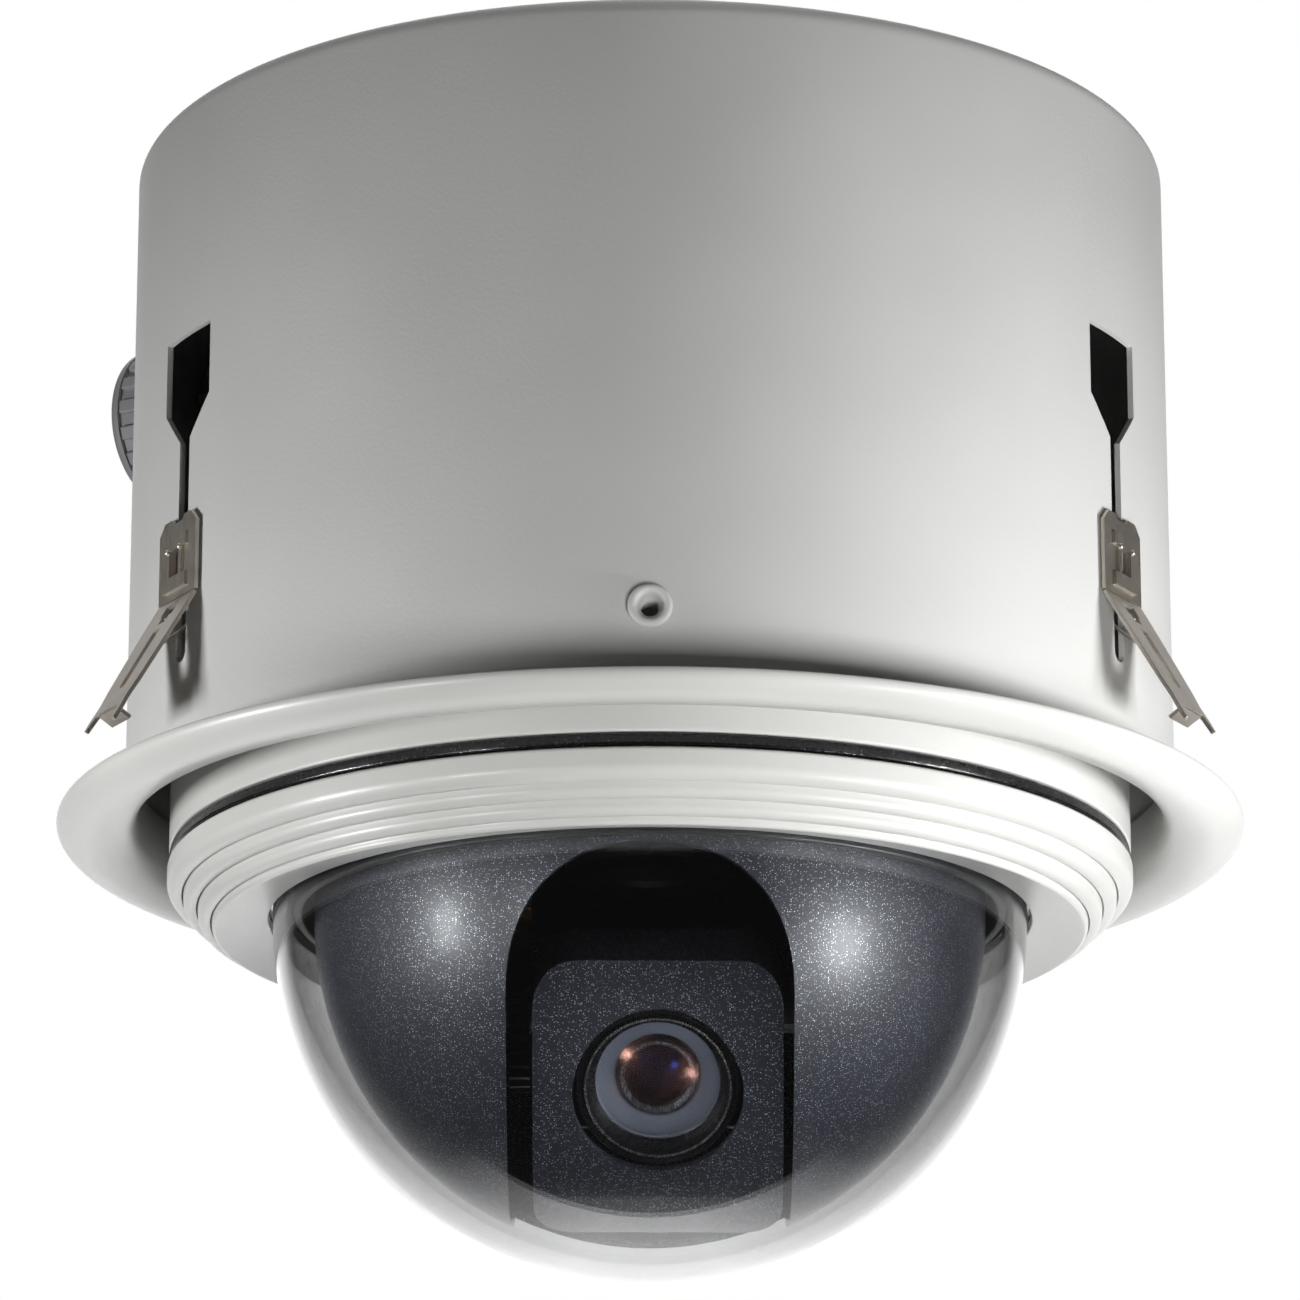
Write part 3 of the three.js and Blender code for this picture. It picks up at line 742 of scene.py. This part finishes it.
class DOMECAM_OT_gland(bpy.types.Operator):
    """Moulded cable gland: body, seal and a clamping cap with grip pads"""

    bl_idname = "domecam.gland"
    bl_label = "Cable gland"

    def execute(self, context):
        place = on_wall(GLAND_AZIMUTH) @ shift(0, GLAND_HEIGHT, 0)
        wall = CAN_OUTSIDE
        low, end = wall + 3.4, wall + 18.6
        body = turned(
            [
                (6.5, wall - 10),
                (10, wall - 10),
                (10, wall + 0.3),
                (15.8, wall + 0.3),
                (15.8, low - 0.3),
                (10, low - 0.3),
                (10, end - 5),
                (6.5, end - 5),
            ],
            96,
            [(15.8, wall + 0.3, 0.4, 2), (15.8, low - 0.3, 0.5, 3)],
        )
        body = moved(body, place)
        piece("gland_body_moulded", body, "can_unit", "gland_nylon", ["gland_body"])
        seal = turned(
            [(4.5, end - 12), (6.3, end - 12), (6.3, end - 4.2), (4.5, end - 4.2)],
            64,
            [(4.5, end - 4.2, 0.5, 3)],
        )
        seal = moved(seal, place)
        piece("gland_seal_ring", seal, "can_unit", "rubber", ["gland_seal"])
        cap = turned(
            [
                (10.3, low),
                (15.3, low),
                (15.3, end - 3.1),
                (16.3, end - 3.1),
                (16.3, end - 1.6),
                (14, end),
                (6.5, end),
                (6.5, end - 3.5),
                (10.3, end - 3.5),
            ],
            144,
            [(15.3, low, 0.4, 2), (16.3, end - 1.6, 0.9, 4), (14, end, 1.2, 4), (6.5, end, 0.7, 3)],
        )
        pads = 18
        for number in range(pads):
            pad = softened(brick(14.4, 16.4, -1.45, 1.45, low + 0.9, end - 3.4), 0.45, 3)
            cap = gathered(cap, moved(pad, turn("Z", number * 360 / pads)))
        cap = moved(cap, place)
        piece("gland_cap_moulded", cap, "gland_cap", "gland_nylon", ["gland_cap_nut"])
        dress("gland_nylon", "gland_locknut")
        return {"FINISHED"}


def clip_plate():
    """Upright plate of a spring clip: a pad pressed round a window, a lip, and a foot inside the can."""
    face, half, low, top, nick = 104.2, 7.8, 32.3, 48.6, 2.2
    plate = slab(
        [
            (-half, low),
            (half, low),
            (half, top - nick),
            (half - nick, top),
            (2.6, top),
            (2.0, top - 1.0),
            (-2.0, top - 1.0),
            (-2.6, top),
            (nick - half, top),
            (-half, top - nick),
        ],
        face,
        face + SHEET,
    )
    raised = face + SHEET + 0.75
    pad = [
        brick(-4.6, 4.6, 42.2, 44.6, face + 0.4, raised),
        brick(-4.6, 4.6, 33.9, 36.6, face + 0.4, raised),
        brick(-3.1, 3.1, 36.4, 42.4, face + 0.4, raised),
    ]
    plate = combined(plate, pad, "UNION")
    window = brick(-2.0, 2.0, 36.7, 41.9, face - 2, raised + 2)
    relief = brick(-5.4, 5.4, 33.2, 45.2, face - 1, face + 0.05)
    plate = combined(plate, [window, relief])
    softened(plate, 0.14)
    lip = brick(-1.6, 1.6, 46.6, 47.5, 100.6, face + 0.5)
    foot = brick(-6, 6, 36, 47.4, 101.2, 102)
    neck = brick(-1.6, 1.6, 43.4, 46, 101.4, face + 0.3)
    parts = [plate]
    parts += [softened(part, 0.12) for part in (lip, foot, neck)]
    for side in (-1, 1):
        dimple = bmesh.new()
        bmesh.ops.create_uvsphere(dimple, u_segments=16, v_segments=10, radius=0.62 * MM)
        parts.append(moved(dimple, shift(side * 2.6, 41.9, raised)))
    return gathered(*parts)


def clip_wing():
    """Wing of a spring clip: a slotted, tapering strip with two prongs, an end tab and a brace."""
    half, end, length = 7.8, 6.6, 29.3
    strip = slab(
        [
            (half, -0.3),
            (-half, -0.3),
            (-half, -7.5),
            (-end - 0.2, -length + 7.5),
            (-end + 0.5, -length + 3.6),
            (-end, -length - 0.4),
            (-end + 0.2, -length - 2.4),
            (-end + 1.1, -length - 2.6),
            (-end + 1.9, -length + 0.4),
            (-end + 2.4, -length + 1.2),
            (end - 2.4, -length + 1.2),
            (end - 1.9, -length + 0.4),
            (end - 1.1, -length - 2.6),
            (end - 0.2, -length - 2.4),
            (end, -length - 0.4),
            (end - 0.5, -length + 3.6),
            (end + 0.2, -length + 7.5),
            (half, -7.5),
        ],
        0,
        SHEET,
    )
    holes = [
        brick(-2.6, 2.6, -4.6, -1.6, -1, 2),
        brick(-1.5, 1.5, -6.4, -4.5, -1, 2),
        slab([*arc(0, -21.5, 1.25, 180, 360, 8), (1.25, -8.2), (-1.25, -8.2)], -1, 2),
    ]
    strip = combined(strip, holes)
    softened(strip, 0.14)
    tab = brick(2.7 - end, end - 2.7, -length + 0.7, -length + 1.5, -2.9, 0.6)
    softened(tab, 0.14)
    # The brace bows from the strip's back up towards the slot in the can.
    path = [(-12.3, -0.2), (-10.6, -0.9), (-8.4, -1.7), (-6.4, -2.5), (-4.6, -3.1), (-3.2, -3.4)]
    back = [(y - 0.1, w - 0.5) for y, w in path]
    brace = slab([*path, *reversed(back)], -1.2, 1.2)
    moved(brace, Matrix(((0, 0, 1, 0), (1, 0, 0, 0), (0, 1, 0, 0), (0, 0, 0, 1))))
    softened(brace, 0.1)
    whole = gathered(strip, tab, brace)
    return moved(whole, shift(0, 32, 104.2) @ turn("X", -WING_LEAN))


class DOMECAM_OT_clips(bpy.types.Operator):
    """Three stainless spring clips, each an upright plate that slides in its keyhole and a sprung wing"""

    bl_idname = "domecam.clips"
    bl_label = "Spring clips"

    def execute(self, context):
        for number, azimuth in enumerate(CLIP_AZIMUTHS, 1):
            place = on_wall(azimuth)
            piece(
                f"clip_plate_pressed_{number}",
                moved(clip_plate(), place),
                f"clip_{number}",
                "spring_steel",
                [f"clip_plate_{number}"],
            )
            piece(
                f"clip_wing_pressed_{number}",
                moved(clip_wing(), place),
                f"wing_{number}",
                "spring_steel",
                [f"clip_wing_{number}"],
            )
        return {"FINISHED"}


class DOMECAM_OT_unit(bpy.types.Operator):
    """Housing, gloss seal band and stepped trim ring of the camera unit"""

    bl_idname = "domecam.unit"
    bl_label = "Camera unit"

    def execute(self, context):
        housing = turned(
            [(0, 57.8), (93.3, 57.8), (93.3, -6.05), (95, -6.05), (95, 59.5), (0, 59.5)],
            192,
            [(95, -6.05, 0.5, 3), (95, 59.5, 2.5, 4)],
        )
        piece("housing", housing, "can_unit", "trim_paint", ["unit_housing"])
        band = turned(
            [(93.3, -8.6), (94.9, -8.6), (94.9, -6.35), (93.3, -6.35)],
            192,
            [(94.9, -8.6, 0.45, 3), (94.9, -6.35, 0.45, 3)],
        )
        piece("seal_band_gloss", band, "can_unit", "band_black", ["seal_band"])
        steps = [(95.3, -14.9, 92.0), (92.0, -17.5, 89.1), (89.1, -20.2, 86.3)]
        outside = [(93, -1), (93, -8.9), (95.3, -8.9)]
        corners = [(95.3, -8.9, 0.9, 4)]
        for wall, ledge, inner in steps:
            groove = [(inner + 0.42, ledge), (inner + 0.22, ledge + 0.55), (inner, ledge)]
            outside += [(wall, ledge), *groove]
            corners.append((wall, ledge, 1.7, 6))
        outside += [(86.3, -21.7), (75.2, -19.2), (75.2, -17.2), (85.5, -17.2), (91.6, -12.5), (91.6, -1)]
        # The topmost step is rounder than the others.
        corners[1] = (95.3, -14.9, 2.6, 8)
        corners += [(86.3, -21.7, 1.0, 5), (75.2, -19.2, 0.35, 3)]
        trim = turned(outside, 192, corners)
        piece("trim_ring_stepped", trim, "can_unit", "trim_paint", ["trim_ring"], sharp=42)
        return {"FINISHED"}


class DOMECAM_OT_bubble(bpy.types.Operator):
    """Clear bubble and the black ring that clamps it"""

    bl_idname = "domecam.bubble"
    bl_label = "Clear bubble"

    def execute(self, context):
        outer = context.scene.dome_sizes.bubble_radius / MM
        inner = outer - 2.5
        profile = [
            (0, DOME_Z - outer),
            *arc(0, DOME_Z, outer, -90, 0, 48)[1:],
            (outer, -16.9),
            (84, -16.9),
            (84, -14.6),
            (inner, -14.6),
            *arc(0, DOME_Z, inner, 0, -90, 48)[:-1],
            (0, DOME_Z - inner),
        ]
        shell = turned(profile, 192)
        piece("bubble", shell, "can_unit", "polycarbonate", ["bubble_dome"])
        ring = turned(
            [(68.6, -19.2), (70.4, -19.2), (70.4, -14.3), (84, -14.3), (84, -12.3), (68.6, -12.3)],
            192,
            [(70.4, -19.2, 0.5, 3), (68.6, -19.2, 0.5, 3)],
        )
        piece("bubble_clamp_ring", ring, "can_unit", "black_plastic", ["dome_retainer"])
        return {"FINISHED"}


class DOMECAM_OT_liner(bpy.types.Operator):
    """Flecked hemispherical liner with an arched slot, on its turntable between two yokes"""

    bl_idname = "domecam.liner"
    bl_label = "Liner"

    def execute(self, context):
        outer = context.scene.dome_sizes.liner_radius / MM
        inner = outer - 1.5
        profile = [
            (0, DOME_Z - outer),
            *arc(0, DOME_Z, outer, -90, 0, 40)[1:],
            (outer, -7.3),
            (inner, -7.3),
            *arc(0, DOME_Z, inner, 0, -90, 40)[:-1],
            (0, DOME_Z - inner),
        ]
        half = 26.9
        squareness = 0.87
        arch = []
        for a in [math.pi * i / 40 for i in range(41)]:
            across = half * math.copysign(abs(math.cos(a)) ** squareness, math.cos(a))
            arch.append((across, -46.3 + half * math.sin(a) ** squareness))
        slot = moved(slab([(-half, -95), (half, -95), *arch], -24, 80), turn("X", 90))
        shell = combined(turned(profile, 160), [slot])
        below = (DOME_Z + 0.3) * MM
        rim = sharp_edges(shell, 50, lambda e: min(v.co.z for v in e.verts) < below)
        bevel(shell, rim, 0.4, 3)
        piece("liner_flecked", shell, "pan_head", "flecked_black", ["liner"])
        dress("black_plastic", "turntable", "yoke_left", "yoke_right")
        return {"FINISHED"}


class DOMECAM_OT_camera(bpy.types.Operator):
    """Tilting camera: curved flecked cover with a lens hole, over a black camera block"""

    bl_idname = "domecam.camera"
    bl_label = "Tilting camera"

    def execute(self, context):
        radius, back, half, corner = 45.3, 20.0, 23.6, 8.0
        high = radius * math.sin(math.radians(32.5))
        low = -radius * math.sin(math.radians(47.5))

        def block(inset):
            reach = radius - inset
            # The hollow reaches past the back, so that the cover is open there.
            rear = back - (1 if inset else 0)
            side = slab([(rear, 40), (rear, -40), *arc(0, 0, reach, -58, 58, 96)], -30, 30)
            moved(side, Matrix(((0, 0, -1, 0), (0, 1, 0, 0), (1, 0, 0, 0), (0, 0, 0, 1))))
            h, t, b, c = half - inset, high - inset, low + inset, corner - inset
            outline = [
                *arc(h - c, t - c, c, 0, 90, 10),
                *arc(c - h, t - c, c, 90, 180, 10),
                *arc(c - h, b + c, c, 180, 270, 10),
                *arc(h - c, b + c, c, 270, 360, 10),
            ]
            return combined(slab(outline, back - 5, radius + 5), [side], "INTERSECT")

        wall, lens_hole = 2.0, 16.15
        hole = turned([(0, 15), (lens_hole, 15), (lens_hole, 60), (0, 60)], 96)
        cover = combined(block(0), [block(wall), hole])
        bevel(cover, sharp_edges(cover, 45), 0.5, 3)
        tab = softened(brick(-2, 2, low - 0.5, low + 0.7, 29.0, 30.2), 0.3)
        body = softened(brick(-19, 19, -17, 17, -18, 19.7), 1.5, 4)
        for name, made, slot, finish, nodes in (
            ("camera_cover_flecked", cover, "fleck_plastic", "flecked_black", ["camera_cover"]),
            ("cover_release_tab", tab, "plated_steel", "bright_bezel", ()),
            ("camera_block_moulded", body, "black_plastic", "black_plastic", ["camera_block"]),
        ):
            piece(name, moved(made, on_lens()), "tilt_camera", finish, nodes)
        return {"FINISHED"}


class DOMECAM_OT_lens(bpy.types.Operator):
    """Zoom lens: anodised barrel rings, grey conical baffle and coated elements"""

    bl_idname = "domecam.lens"
    bl_label = "Lens"

    def execute(self, context):
        ring = turned(
            [
                (13.3, 20),
                (15.7, 20),
                (15.7, 40.0),
                (15.4, 40.4),
                (14.6, 40.4),
                (14.4, 39.9),
                (14.1, 39.9),
                (14.0, 40.8),
                (13.5, 40.8),
                (13.5, 40.2),
                (13.1, 39.2),
                (11.8, 37.7),
                (13.2, 37.1),
            ],
            128,
            [(15.7, 40.0, 0.15, 2), (14.6, 40.4, 0.12, 2), (11.8, 37.7, 0.1, 2)],
        )
        baffle = turned([(8, 32.8), (11.9, 34.4), (11.9, 35.1), (8, 33.8)], 128)
        barrel = turned(
            [(6, 20), (7.7, 20), (7.7, 34.9), (7.45, 35.2), (7.1, 35.2), (6.0, 33.9)],
            96,
        )
        bezel = turned([(6.25, 34.5), (6.95, 35.3), (6.6, 35.35), (6.1, 34.75)], 96)
        rim_line = turned(
            [(13.55, 41.0), (13.95, 41.0), (13.95, 41.4), (13.55, 41.4)],
            128,
            [(13.95, 41.4, 0.12, 2)],
        )
        crown = arc(0, 24.1, 9, 49.0, 90, 12)[1:-1]
        inner = turned([(0, 24), (5.9, 24), (5.9, 30.9), *crown, (0, 33.1)], 96)
        centre, front, wall, rim = 24.7, 16.5, 1.3, 40.8
        hollow = arc(0, centre, front - wall, 90, rim, 16)[1:]
        crown = arc(0, centre, front, rim, 90, 16)[:-1]
        shell = turned([(0, centre + front - wall), *hollow, *crown, (0, centre + front)], 128)
        for name, made, slot, finish, nodes in (
            ("lens_barrel_ring", ring, "black_plastic", "anodised", ["lens_ring"]),
            ("lens_baffle_cone", baffle, "baffle_grey", "baffle", ["lens_baffle"]),
            ("lens_inner_tube", barrel, "black_plastic", "anodised", ["lens_inner_barrel"]),
            ("lens_inner_bezel", bezel, "plated_steel", "bright_bezel", ()),
            ("lens_front_bezel", rim_line, "plated_steel", "bright_bezel", ()),
            ("lens_inner_element", inner, "lens_coated", "inner_element", ["lens_glass"]),
            ("lens_front_element", shell, "lens_coated", "front_element", ()),
        ):
            piece(name, moved(made, on_lens()), "tilt_camera", finish, nodes)
        return {"FINISHED"}


class DOMECAM_OT_works(bpy.types.Operator):
    """Finishes for the hidden works: plates, motors, gears, boards and hanger"""

    bl_idname = "domecam.works"
    bl_label = "Inner works"

    def execute(self, context):
        dress(
            "plated_steel",
            "hanger_bracket",
            "pan_base_plate",
            "pan_spindle",
            "pan_motor",
            "tilt_motor",
            "tilt_axle_left",
            "tilt_axle_right",
        )
        dress("board", "power_board", "main_board", "terminal_block")
        # The gears get a near-black colour that paints in the shade inside the slot.
        dress("gear_nylon", "pan_gear", "tilt_gear")
        dress("brass", "pan_pinion", "tilt_pinion")
        dress("black_plastic", "slip_ring")
        return {"FINISHED"}


def softbox(name, watts, place, target, width, height):
    """A rectangular lamp that faces a target, in metres."""
    light = bpy.data.lights.new(name, "AREA")
    light.shape, light.size, light.size_y, light.energy = "RECTANGLE", width, height, watts
    lamp = bpy.data.objects.new(name, light)
    lamp.location = place
    lamp.rotation_euler = (Vector(target) - Vector(place)).to_track_quat("-Z", "Y").to_euler()
    lamp.visible_camera = False
    # Lamps light what lies behind the bubble without drawing their outline on it.
    light.cycles.use_multiple_importance_sampling = False
    bpy.context.scene.collection.objects.link(lamp)
    return lamp


def round_about(azimuth, distance, height):
    """A place round the object: azimuth in degrees from the front, distance and height in metres."""
    a = math.radians(azimuth)
    return (distance * math.sin(a), -distance * math.cos(a), height)


class DOMECAM_OT_stage(bpy.types.Operator):
    """Pale floor, soft studio light and the camera"""

    bl_idname = "domecam.stage"
    bl_label = "Stage"

    def execute(self, context):
        scene = context.scene
        scene.view_settings.view_transform = "Standard"
        world = bpy.data.worlds.new("pale_studio")
        scene.world = world
        world.use_nodes = True
        tree = world.node_tree
        tree.nodes.clear()
        direction = add(tree, "ShaderNodeTexCoord").outputs["Generated"]
        parts = add(tree, "ShaderNodeSeparateXYZ", {"Vector": direction})
        rays = add(tree, "ShaderNodeLightPath").outputs

        def both(first, second):
            return maths(tree, "MULTIPLY", first, second)

        unscattered = maths(tree, "LESS_THAN", rays["Diffuse Depth"], 0.5)
        mirrored_ray = both(unscattered, maths(tree, "GREATER_THAN", rays["Glossy Depth"], 0.5))
        straight_ray = both(unscattered, maths(tree, "LESS_THAN", rays["Glossy Depth"], 0.5))
        # The sweep starts behind the dome, so its edge shows low down in the bubble.
        past_edge = maths(tree, "MULTIPLY_ADD", parts.outputs["Z"], SWEEP_EDGE, parts.outputs["Y"])
        sideways = maths(tree, "ABSOLUTE", parts.outputs["X"])
        lit_middle = spread(tree, sideways, 1.0, 0.0, 0.15, 0.62)
        lit_sweep = spread(tree, past_edge, 0.0, 1.8, 0.036, 0.042)
        mirrored = maths(tree, "ADD", both(lit_middle, lit_sweep), DARK_ROOM)
        backdrop = spread(tree, parts.outputs["Y"], DARK_ROOM, LIT_BACKDROP, -0.05, 0.05)
        # The room's own light is dim, and each kind of ray below sees something else instead.
        strength = spread(tree, parts.outputs["Z"], LIT_ROOM, DARK_ROOM, -1.0, 0.6)
        for ray, brightness in (
            (mirrored_ray, mirrored),
            (both(straight_ray, rays["Is Transmission Ray"]), backdrop),
            (rays["Is Camera Ray"], 1.0),
        ):
            mixed = add(tree, "ShaderNodeMix", {"Factor": ray, "A": strength}, data_type="FLOAT")
            if isinstance(brightness, float):
                mixed.inputs["B"].default_value = brightness
            else:
                tree.links.new(brightness, mixed.inputs["B"])
            strength = mixed.outputs[0]
        sky = add(tree, "ShaderNodeBackground", {"Color": tint("#FFFFFF"), "Strength": strength})
        add(tree, "ShaderNodeOutputWorld", {"Surface": sky.outputs["Background"]})

        floor = bmesh.new()
        bmesh.ops.create_grid(floor, x_segments=1, y_segments=1, size=6)
        moved(floor, Matrix.Translation((0, 0, FLOOR_Z)))
        mesh = bpy.data.meshes.new("floor")
        floor.to_mesh(mesh)
        floor.free()
        ground = bpy.data.objects.new("floor", mesh)
        mesh.materials.append(moulded_plastic("pale_studio_floor", "#ECECEA", "#E6E6E4", 0.7, 3.0))
        scene.collection.objects.link(ground)
        ground.visible_diffuse = ground.visible_glossy = ground.visible_transmission = False

        softbox("left_light", 0.43, round_about(-66, 0.31, -0.057), (0, 0, 0), 0.05, 0.06)
        softbox("right_light", 0.78, round_about(64, 0.31, -0.088), (0, 0, 0), 0.07, 0.07)
        fill = softbox("front_fill", 1.25, round_about(18, 0.47, -0.235), (0, 0, 0), 0.15, 0.15)
        fill.visible_glossy = fill.visible_transmission = False
        for side, azimuth, height in (("left", -38, -0.1), ("right", 46, -0.3)):
            place = round_about(azimuth, 0.5, height)
            glint = softbox(f"{side}_lens_glint", 0.45, place, (0, 0, -0.05), 0.06, 0.06)
            glint.visible_diffuse = False
        softbox("floor_light", 270.0, (0, 0, FLOOR_Z + 0.3), (0, 0.0001, -1), 12.0, 12.0)
        for name, watts, place in (
            ("rear_light", 3.2, (0, 0.8, 0.2)),
            ("top_light", 2.4, (0, 0.02, 0.95)),
        ):
            far = softbox(name, watts, place, (0, 0, 0.06), 0.35, 0.35)
            far.visible_glossy = far.visible_transmission = False

        lens = bpy.data.cameras.new("camera")
        lens.sensor_width = 36
        lens.lens = VIEW_FOCAL_MM
        lens.clip_end = 50
        camera = bpy.data.objects.new("camera", lens)
        camera.location = VIEW_PLACE
        camera.rotation_euler = (math.radians(90 + VIEW_RISE), 0, 0)
        scene.collection.objects.link(camera)
        scene.camera = camera
        return {"FINISHED"}


STEPS = (
    DOMECAM_OT_stage,
    DOMECAM_OT_can,
    DOMECAM_OT_flange,
    DOMECAM_OT_rivet_nut,
    DOMECAM_OT_gland,
    DOMECAM_OT_clips,
    DOMECAM_OT_unit,
    DOMECAM_OT_bubble,
    DOMECAM_OT_liner,
    DOMECAM_OT_camera,
    DOMECAM_OT_lens,
    DOMECAM_OT_works,
)


class DOMECAM_PT_panel(bpy.types.Panel):
    """Lists the steps that build the dome camera"""

    bl_idname = "DOMECAM_PT_panel"
    bl_label = "Dome Camera"
    bl_space_type = "VIEW_3D"
    bl_region_type = "UI"
    bl_category = "Dome Camera"

    def draw(self, context):
        for group in (context.scene.dome_sizes, context.scene.dome_colours):
            for name in group.bl_rna.properties.keys():
                if name not in {"rna_type", "name"}:
                    self.layout.prop(group, name)
        for step in STEPS:
            self.layout.operator(step.bl_idname)


CLASSES = (DomeSizes, DomeColours, *STEPS, DOMECAM_PT_panel)


def register():
    for cls in CLASSES:
        bpy.utils.register_class(cls)
    bpy.types.Scene.dome_sizes = PointerProperty(type=DomeSizes)
    bpy.types.Scene.dome_colours = PointerProperty(type=DomeColours)


def unregister():
    del bpy.types.Scene.dome_colours
    del bpy.types.Scene.dome_sizes
    for cls in reversed(CLASSES):
        bpy.utils.unregister_class(cls)


def main():
    register()
    for step in STEPS:
        group, name = step.bl_idname.split(".")
        getattr(getattr(bpy.ops, group), name)()


if __name__ == "__main__":
    main()
